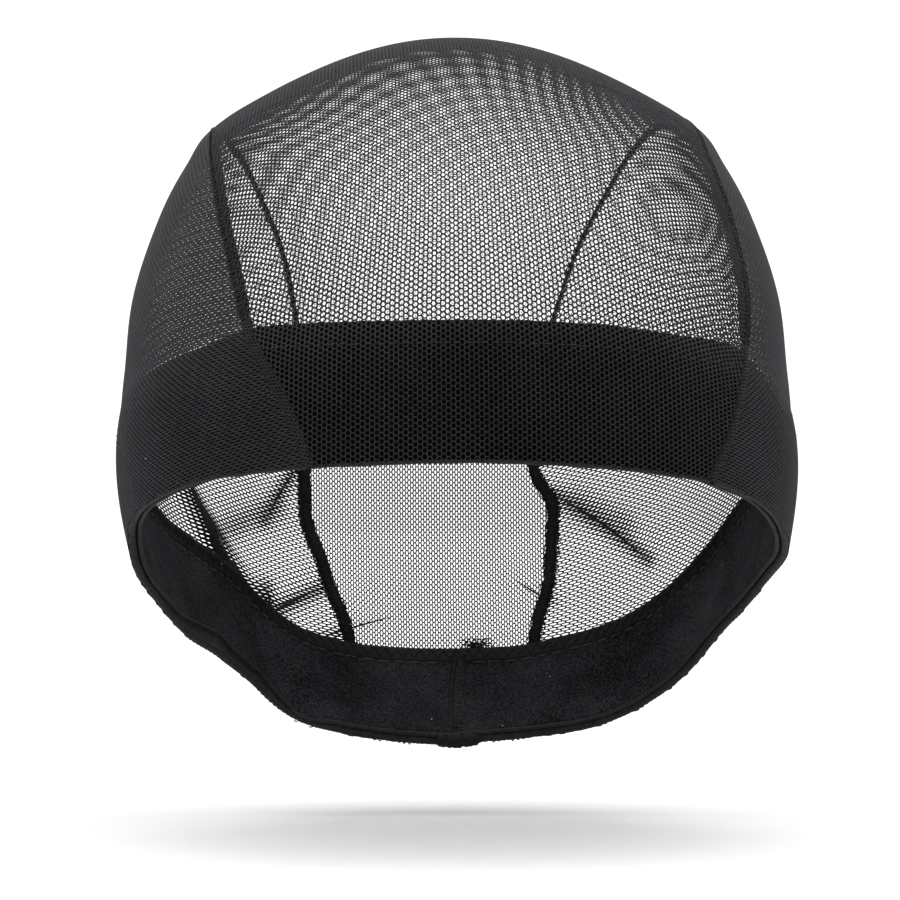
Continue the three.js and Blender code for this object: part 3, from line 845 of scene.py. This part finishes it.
tuck_ridges = []
for number, (start, end, bow, half, _, _) in enumerate(TUCKS):
    if half > 0:
        tuck_ridges.append(tuck_ridge(start, end, bow, half, number))
finish_piece(make_object("tuck_ridges", *join(*tuck_ridges), net_material), "net")

# The overlocked seams: a folded core, two cord ridges with rungs outside, and looped thread along both edges
RUNG_PITCH = 1.25
TWIST_PITCH = 1
LOOP_PITCH = 1.7
LOOP_END = 0.7
LOOP_SPREAD = 1.15
CROSS_PITCH = 0.85
CORE_STEP = 0.75
SEAM_END = 0.6
TWIST_RADIUS = 0.2
LOOP_RADIUS = 0.15
CROSS_RADIUS = 0.14
EDGE_WAVE = 0.24
ALLOWANCE = 0.9
ALLOWANCE_RUN = 5
NET_WALL = 1.2
SEAM_LOWEST = 0.3
ELASTIC_GAP = 0.3

# Half width of a seam's folded core, by the angle over the top
core_half_width = column_curve([(0, 1.05), (60, 1.05), (95, 0.24), (168, 0.22), (188, 1.35), (240, 1.25)], 1)


def seam_line(side):
    over = np.radians(np.linspace(*CROWN_OVER, 2600))
    points, normals = crown_face.at(seam_x(side, over), over)
    clear = np.nonzero(rim_clear(points, SEAM_LOWEST))[0]
    kept = slice(clear[0], clear[-1] + 1)
    return Line(points[kept], normals[kept])


def seam_piece(name, side, seed):
    """A seam: its folded core, twisted cords and rungs outside, loops and crossed threads inside."""
    line = seam_line(side)
    chance = np.random.default_rng(seed)
    s = np.linspace(0, line.length, int(line.length / CORE_STEP))
    middle = line.read(line.points, s)
    over_hem = middle[:, 2] - hem_level(azimuth_of(middle)) - NET_WALL - ELASTIC_GAP
    inward = NET_WALL + ALLOWANCE * np.clip(over_hem / ALLOWANCE_RUN, 0, 1)
    on_front = middle[:, 1] < 0
    sunk = np.where(on_front, 0.22 * np.clip(-over_hem / 3, 0, 1), 0)
    half = core_half_width(np.degrees(over_of(middle)))
    left_edge = -half - EDGE_WAVE * half * ripple(s, 4.1, side + 2)
    right_edge = half + EDGE_WAVE * half * ripple(s, 3.7, side + 5)
    drift = 0.12 * ripple(s, 9, side + 1)
    section = [
        line.place(s, left_edge, -0.3), line.place(s, left_edge * 0.55, -0.05 - sunk),
        line.place(s, drift, -0.1 - sunk), line.place(s, right_edge * 0.55, -0.05 - sunk),
        line.place(s, right_edge, -0.3), line.place(s, right_edge, 0.25 - inward),
        line.place(s, drift, -inward), line.place(s, left_edge, 0.25 - inward),
    ]
    parts = [strip(np.stack(section, 1), closed_round=True)]
    t = np.linspace(-1, 1, 4)
    for edge in (-1, 1):
        twist = np.arange(SEAM_END, line.length - SEAM_END, TWIST_PITCH)
        twist = twist + chance.uniform(-0.2, 0.2, twist.shape)
        half_at, sunk_at = np.interp(twist, s, half)[:, None], np.interp(twist, s, sunk)[:, None]
        lift = chance.uniform(0.05, 0.24, twist.shape)[:, None]
        slant = chance.uniform(0.15, 0.4, twist.shape)[:, None]
        across = edge * half_at * (0.82 + slant * t)
        path = line.place(twist[:, None] + 0.68 * t, across, lift - 0.16 * t * t - sunk_at)
        parts.append(tubes(path, np.minimum(TWIST_RADIUS, 0.22 * half_at), 5))
    rung = np.arange(SEAM_END, line.length - SEAM_END, RUNG_PITCH)
    rung = rung + chance.uniform(-0.15, 0.15, rung.shape)
    slip = chance.uniform(-0.2, 0.2, rung.shape)[:, None]
    reach = 0.83 * np.interp(rung, s, half)[:, None]
    out = 0.2 - 0.1 * t * t - np.interp(rung, s, sunk)[:, None]
    parts.append(tubes(line.place(rung[:, None] + slip * t, reach * t, out), LOOP_RADIUS, 5))
    loop = np.arange(LOOP_END, line.length - LOOP_END, LOOP_PITCH)
    edge_at = np.interp(loop, s, half)[:, None]
    depth = np.interp(loop, s, inward)[:, None]
    u = np.linspace(0, 1, 5)
    for edge in (-1, 1):
        starts = (loop + chance.uniform(-0.25, 0.25, loop.shape))[:, None]
        reach = chance.uniform(0.35, 1, loop.shape)[:, None] * np.clip(edge_at, 0.8, 1)
        across = edge * (edge_at - 0.1 + reach * np.sin(np.pi * u))
        out = -0.1 - depth * (0.55 + 0.35 * np.cos(2 * np.pi * u))
        path = line.place(starts + (u - 0.5) * LOOP_PITCH * LOOP_SPREAD, across, out)
        parts.append(tubes(path, LOOP_RADIUS, 4))
    cross = np.arange(0, line.length - 2 * CROSS_PITCH, CROSS_PITCH)
    flip = np.where(np.arange(len(cross)) % 2, 1, -1)[:, None]
    reach = np.interp(cross, s, half)[:, None]
    under = np.interp(cross, s, inward)[:, None]
    paths = line.place(cross[:, None] + 0.42 * (t + 1), flip * t * reach, 0.02 - under + 0.1 * t * t)
    parts.append(tubes(paths, CROSS_RADIUS, 4))
    return make_object(name, *join(*parts), thread_material)


finish_piece(seam_piece("seam_left_overlock", -1, 3), "seam_thread", "seam_left")
finish_piece(seam_piece("seam_right_overlock", 1, 4), "seam_thread", "seam_right")

CROSSING_PITCH = 0.95
CROSSING_REACH = 1.3
CROSSING_SLANT = 0.9
CROSSING_TOP = 0.4


def band_crossings():
    """Strands that cross over the seams where they lie on the band."""
    t = np.linspace(-1, 1, 4)
    parts = []
    for side in (-1, 1):
        line = seam_line(side)
        s = np.arange(0.5, line.length - 0.5, CROSSING_PITCH)
        place = line.read(line.points, s)
        s = s[place[:, 2] < hem_level(azimuth_of(place)) + CROSSING_TOP][:, None]
        for slant in (-CROSSING_SLANT, CROSSING_SLANT):
            reach = CROSSING_REACH * (1 + 0.2 * ripple(s, 3.1, side + slant))
            parts.append(tubes(line.place(s + slant * t, reach * t, 0.2 - 0.12 * t * t), CROSS_RADIUS, 5))
    return make_object("seam_band_crossings", *join(*parts), net_material)


finish_piece(band_crossings(), "seam_thread")

# The band, round the head from the nape back to the nape
BAND_COLUMNS = 800
round_head = np.arange(BAND_COLUMNS) / BAND_COLUMNS * 2 * np.pi - np.pi
ring_point = wall_point(round_head, level_above_rim(round_head, 0))
ring_step = np.linalg.norm(np.roll(ring_point, -1, 0) - ring_point, axis=1)
ring_run = np.concatenate([[0], np.cumsum(ring_step)])
rim_length = ring_run[-1]

# The rim by azimuth in degrees: how far its inner edge lifts off the rolled net, half the roll's thickness
RIM_STATIONS = [
    (-180, 0, 0.8),
    (-150, 0, 0.8),
    (-141, 1.6, 0.8),
    (-133, 2.6, 0.8),
    (-128, 3.9, 0.8),
    (-120, 2.9, 0.78),
    (-108, 0.4, 0.75),
    (-90, 0, 0.7),
    (-55, 0, 0.42),
    (55, 0, 0.42),
    (90, 0, 0.7),
    (120, 0, 0.8),
    (180, 0, 0.8),
]
edge_lift = column_curve(RIM_STATIONS, 1)
roll_half = column_curve(RIM_STATIONS, 2)
EDGE_RISE = 0.9


def inner_edge_rise(azimuth):
    return EDGE_RISE + edge_lift(np.degrees(turned(azimuth))) + 0.12 * ripple(azimuth, 0.19, 1)


def at_rim(run):
    """Azimuths at distances run along the rim."""
    return np.interp(np.mod(run, rim_length), ring_run, np.append(round_head, np.pi))


ELASTIC_OUTER = 1.3
ELASTIC_INNER = 3.2
HEM_GAP = 0.15
ELASTIC_SHOULDER = 0.8
PLUSH_STEPS = 24
PLUSH_PILE = 0.06


def elastic_piece():
    """One closed loop: smooth outside, rounded at the hem, with a plush inner face."""
    chance = np.random.default_rng(5)
    top = wall_length(round_head) - HEM_GAP - ELASTIC_SHOULDER
    bottom = inner_edge_rise(round_head)
    wave = 0.16 * ripple(round_head, 0.31, 4)
    flat = 0 * wave
    section = [(bottom + (top - bottom) * share, ELASTIC_OUTER + flat) for share in np.linspace(0, 1, 9)]
    middle = (ELASTIC_OUTER + ELASTIC_INNER) / 2
    half = (ELASTIC_INNER - ELASTIC_OUTER) / 2
    for turn in np.radians((150, 110, 70, 30)):
        section.append((top + ELASTIC_SHOULDER * math.sin(turn), middle + half * math.cos(turn) + flat))
    for share in np.linspace(1, 0, PLUSH_STEPS):
        pillow = (wave + 0.25) * math.sin(math.pi * share) + chance.normal(0, PLUSH_PILE, wave.shape)
        section.append((bottom + (top - bottom) * share, ELASTIC_INNER - 0.15 + pillow))
    grid = np.stack([under_band(round_head, rise, depth) for rise, depth in section], 1)
    return make_object("elastic_plush", *strip(grid, closed_round=True, closed_along=True), elastic_material)


finish_piece(elastic_piece(), "elastic", "elastic_band")

# The rolled rim: a ribbed outer roll of net, a groove, and the thin bead of the inner edge
RIB_PITCH = 1.15
RIM_STEPS = 1300
ROLL_RISE = 0.7
ROLL_PLACES = 9
BEAD_PLACES = 7


def rim_piece():
    run = np.linspace(0, rim_length, RIM_STEPS, endpoint=False)
    azimuth = at_rim(run)
    rib = 1 + 0.07 * np.sin(2 * np.pi * run / (rim_length / round(rim_length / RIB_PITCH)))
    thick = roll_half(np.degrees(turned(azimuth)))
    section = []
    for turn in np.arange(ROLL_PLACES) / ROLL_PLACES * 2 * np.pi:
        rise = ROLL_RISE + (thick * rib + 0.1 * ripple(run, 6, 2)) * math.sin(turn)
        depth = 0.75 + 0.25 * thick - (thick + 0.3) * rib * math.cos(turn)
        section.append(under_band(azimuth, rise, depth))
    outer = strip(np.stack(section, 1), closed_round=True, closed_along=True)
    edge = inner_edge_rise(azimuth)
    bead = []
    for turn in np.arange(BEAD_PLACES) / BEAD_PLACES * 2 * np.pi:
        rise = edge - 0.1 + 0.45 * math.sin(turn)
        bead.append(under_band(azimuth, rise, 2.75 + 0.55 * math.cos(turn) + 0.04 * ripple(run, 2.1, 3)))
    inner = strip(np.stack(bead, 1), closed_round=True, closed_along=True)
    flat = 0 * edge
    web_lines = [
        under_band(azimuth, ROLL_RISE + flat, 1.5 + flat),
        under_band(azimuth, edge * 0.5 + 0.5, 1.7 + flat),
        under_band(azimuth, edge, 2.5 + flat),
    ]
    web = strip(np.stack(web_lines, 1), closed_along=True)
    return make_object("rim_edge", *join(outer, inner, web), net_material)


finish_piece(rim_piece(), "net", "rim_roll")

# The hem: the net's turned-in edge on the inner face, its zigzag, and running stitches on both faces
FACING_DROP = 5.8
DASH = 2.3
DASH_PITCH = 3.3


def below_hem(azimuth, drop, depth):
    return under_band(azimuth, wall_length(azimuth) - drop, depth)


def facing_piece():
    """The net's edge turned in at the hem, from profile points of drop and depth."""
    ragged = FACING_DROP + 0.25 * ripple(round_head, 0.07, 6) + 0.15 * ripple(round_head, 0.023, 2)
    lump = 0.12 * ripple(round_head, 0.045, 3)
    flat = 0 * lump
    section = [
        (0.1 + flat, ELASTIC_OUTER + 0.5 + flat), (-0.15 + flat, 2.3 + flat), (0.25 + flat, 3.2 + lump),
        (1.2 + flat, 3.65 + lump), (2.6 + lump, 3.7 - lump), (4.2 + flat, 3.62 + lump),
        (ragged - 0.3, 3.6 + lump), (ragged, 3.2 + flat),
    ]
    grid = np.stack([below_hem(round_head, drop, depth) for drop, depth in section], 1)
    return make_object("hem_facing", *strip(grid, closed_along=True), thread_material)


def dashes(drop, depth, radius, seed, length=DASH, pitch=DASH_PITCH):
    """Running stitches round the band at a distance under the hem."""
    chance = np.random.default_rng(seed)
    starts = np.arange(0, rim_length - pitch, pitch)
    starts = starts + chance.uniform(-0.3, 0.3, starts.shape)
    sag = chance.uniform(-0.12, 0.12, starts.shape)[:, None]
    u = np.linspace(0, 1, 5)
    dive = 0.22 * (2 * u - 1) ** 2 * np.sign(2 - depth)
    return tubes(below_hem(at_rim(starts[:, None] + u * length), drop + sag, depth + dive), radius, 5)


def zigzag(first_drop, last_drop, depth, pitch, radius):
    """A zigzag thread round the band."""
    steps = int(rim_length / pitch) * 4
    step = np.arange(steps + 1)
    run = np.minimum(step / steps * rim_length, rim_length - 1e-6)
    sweep = np.abs(np.mod(step / 2, 2) - 1)
    drop = first_drop + (last_drop - first_drop) * sweep + 0.25 * ripple(run, 7, 5)
    return tubes(below_hem(at_rim(run), drop, depth)[None], radius, 4)


finish_piece(facing_piece(), "net")
zigzag_thread = zigzag(first_drop=1.4, last_drop=4.9, depth=3.85, pitch=2.3, radius=0.14)
finish_piece(make_object("hem_zigzag", *zigzag_thread, thread_material), "seam_thread")
inner_stitches = dashes(FACING_DROP + 0.8, depth=3.65, radius=0.15, seed=7)
finish_piece(make_object("hem_stitches_inner", *inner_stitches, stitch_material), "seam_thread")
outer_stitches = join(
    dashes(6.2, depth=-0.1, radius=0.15, seed=8, length=1.9, pitch=3),
    dashes(1.1, depth=-0.1, radius=0.13, seed=9, length=1.3, pitch=2.1),
)
finish_piece(make_object("hem_stitches_outer", *outer_stitches, net_material), "seam_thread")

# The lapped join of the elastic at the nape, with a curved groove down its middle and short stitches across
JOIN_AZIMUTH = math.radians(176.5)
JOIN_HALF_WIDTH = 3.5
JOIN_BOW = 1.4
JOIN_BOW_TURN = 2.4
JOIN_SHIFT = 1.1
JOIN_RISE = 1.4
JOIN_MARGINS = 2.6
JOIN_STITCH_PITCH = 1.9
GROOVE_SHADE_THREAD = 0.36
LAP_STITCH = 0.13


def join_place(u, v, depth):
    radius = float(cap_radius(JOIN_AZIMUTH, hem_level(JOIN_AZIMUTH)))
    bow = JOIN_BOW * np.sin(JOIN_BOW_TURN * v) - JOIN_SHIFT
    azimuth = JOIN_AZIMUTH + (u * JOIN_HALF_WIDTH + bow) / radius
    return under_band(azimuth, JOIN_RISE + (wall_length(azimuth) - JOIN_MARGINS) * v, depth)


def groove_u(v):
    return 0.78 - 0.85 * v


def join_piece():
    u, v = np.meshgrid(np.linspace(-1, 1, 71), np.linspace(0, 1, 60), indexing="xy")
    lap = u - groove_u(v)
    overlap = np.where(lap > 0, 0.25, 1.4) * (1 - u * u) ** 0.6
    groove = 2.6 * np.exp(-((lap / 0.15) ** 2)) * (0.8 + 0.2 * ripple(v * 30, 5, 1))
    edge = np.maximum(np.abs(u), np.abs(2 * v - 1)) ** 10
    depth = ELASTIC_INNER + (overlap - groove + 0.07 * ripple(v * 30 + 9 * u, 3, 2)) * (1 - edge) - 0.6 * edge
    return make_object("nape_join", *strip(join_place(u, v, depth)), elastic_material)


def join_stitches():
    """A thick dark thread down the lap's groove, which paints the shade in the groove, and the short stitches
    over it.
    """
    chance = np.random.default_rng(11)
    down = np.linspace(0.02, 0.98, 90)
    wander = 0.05 * ripple(down * 30, 6, 2)
    # Painted shade: the dark thread laid along the groove darkens it
    lap = tubes(join_place(groove_u(down) + wander, down, ELASTIC_INNER + 0.62)[None], GROOVE_SHADE_THREAD, 6)
    v = np.arange(0.05, 0.95, JOIN_STITCH_PITCH / band_height)
    t = np.linspace(-1, 1, 5)
    slant = chance.uniform(-0.02, 0.02, v.shape)[:, None]
    middle = groove_u(v)[:, None]
    depth = ELASTIC_INNER + 0.75 - 0.5 * t * t + 0 * slant
    paths = join_place(middle + 0.17 * t, v[:, None] + slant * t, depth)
    return make_object("join_stitches", *join(lap, tubes(paths, LAP_STITCH, 5)), thread_material)


finish_piece(join_piece(), "elastic", "elastic_join")
finish_piece(join_stitches(), "seam_thread")

# A loose knot of thread at the hem beside the join, and the gathered end of the rim under it
KNOT_AZIMUTH = math.radians(173)
KNOT_SIZE = (5, 1, 2.3)
KNOT_THREADS = 5
KNOT_RADIUS = 0.1
KNOT_DROP = -1.5
KNOT_DEPTH = 1.5
KNOT_LENGTH = 46
GATHER_AZIMUTH = math.radians(176.2)
GATHER_LENGTH = 13
GATHER_FLAT = 1.5
GATHER_RISE = 1.9
GATHER_BULGE = 1.7
GATHER_STEPS = 90
GATHER_PLACES = 22


def knot_piece():
    """Loose thread ends, curled over each other."""
    centre = below_hem(KNOT_AZIMUTH, KNOT_DROP, KNOT_DEPTH)
    across = np.array([math.cos(KNOT_AZIMUTH), math.sin(KNOT_AZIMUTH), 0])
    inward = np.array([-math.sin(KNOT_AZIMUTH), math.cos(KNOT_AZIMUTH), 0])
    ways = np.stack([across, inward, np.array([0, 0, 1.0])])
    t = np.linspace(0, KNOT_LENGTH, 150)
    paths = []
    for number in range(KNOT_THREADS):
        curl = [size * ripple(t, 15 + 4 * way, 1.9 * number + way) for way, size in enumerate(KNOT_SIZE)]
        paths.append(centre + np.stack(curl, 1) @ ways)
    return make_object("hem_knot", *tubes(np.array(paths), KNOT_RADIUS, 4), thread_material)


def gather_piece():
    radius = float(cap_radius(GATHER_AZIMUTH, level_above_rim(GATHER_AZIMUTH, 0)))
    turns = np.arange(GATHER_PLACES) / GATHER_PLACES * 2 * np.pi
    u, turn = np.meshgrid(np.linspace(-1, 1, GATHER_STEPS), turns, indexing="ij")
    swell = np.sqrt(np.clip(1 - np.abs(u) ** 3.5, 0.03, 1))
    pleat = 1 + 0.3 * ripple(6.5 * u, 2.3, 2)
    crease = 1 + 0.1 * np.sin(5 * turn + 3 * u)
    azimuth = GATHER_AZIMUTH + u * GATHER_LENGTH / 2 / radius
    rise = np.maximum(0.1 + 0.3 * u + GATHER_RISE * swell * crease * np.sin(turn), -GATHER_FLAT)
    depth = 1.5 + GATHER_BULGE * swell * pleat * np.cos(turn)
    grid = under_band(azimuth, rise, depth)
    # Painted shade: the gather is drawn in the darker seam yarn to darken the folds of its gathers
    return make_object("rim_gather", *strip(grid, closed_round=True), thread_material)


finish_piece(knot_piece(), "seam_thread")
finish_piece(gather_piece(), "net")

# Light: a white studio dome, brighter overhead, and a pale floor
HORIZON = 1.18
ZENITH = 5
OVERHEAD_FOCUS = 2.6
world = bpy.data.worlds.new("studio")
world.use_nodes = True
nodes, links = world.node_tree.nodes, world.node_tree.links
sky_place = nodes.new("ShaderNodeTexCoord")
sky_parts = nodes.new("ShaderNodeSeparateXYZ")
sky_height = nodes.new("ShaderNodeMath")
sky_height.operation = "MAXIMUM"
sky_height.inputs[1].default_value = 0
sky_curve = nodes.new("ShaderNodeMath")
sky_curve.operation = "POWER"
sky_curve.inputs[1].default_value = OVERHEAD_FOCUS
sky_strength = nodes.new("ShaderNodeMath")
sky_strength.operation = "MULTIPLY_ADD"
sky_strength.inputs[1].default_value = ZENITH - HORIZON
sky_strength.inputs[2].default_value = HORIZON
links.new(sky_place.outputs["Generated"], sky_parts.inputs["Vector"])
links.new(sky_parts.outputs["Z"], sky_height.inputs[0])
links.new(sky_height.outputs[0], sky_curve.inputs[0])
links.new(sky_curve.outputs[0], sky_strength.inputs[0])
links.new(sky_strength.outputs[0], nodes["Background"].inputs["Strength"])
nodes["Background"].inputs["Color"].default_value = (1, 1, 1, 1)
bpy.context.scene.world = world
bpy.context.scene.view_settings.view_transform = "Standard"

FLOOR_DROP = 0.0172
FLOOR_REACH = 4
FLOOR_TONE = (0.44, 0.44, 0.44, 1)
floor_level = cad_low.z - FLOOR_DROP
floor_mesh = bpy.data.meshes.new("floor")
corners = [(x * FLOOR_REACH, y * FLOOR_REACH, floor_level) for x, y in ((-1, -1), (1, -1), (1, 1), (-1, 1))]
floor_mesh.from_pydata(corners, [], [(0, 1, 2, 3)])
floor = bpy.data.objects.new("floor", floor_mesh)
bpy.context.scene.collection.objects.link(floor)
floor_material = bpy.data.materials.new("pale_floor")
floor_material.use_nodes = True
set_sockets(floor_material.node_tree.nodes["Principled BSDF"], Base_Color=FLOOR_TONE, Roughness=1)
floor_mesh.materials.append(floor_material)
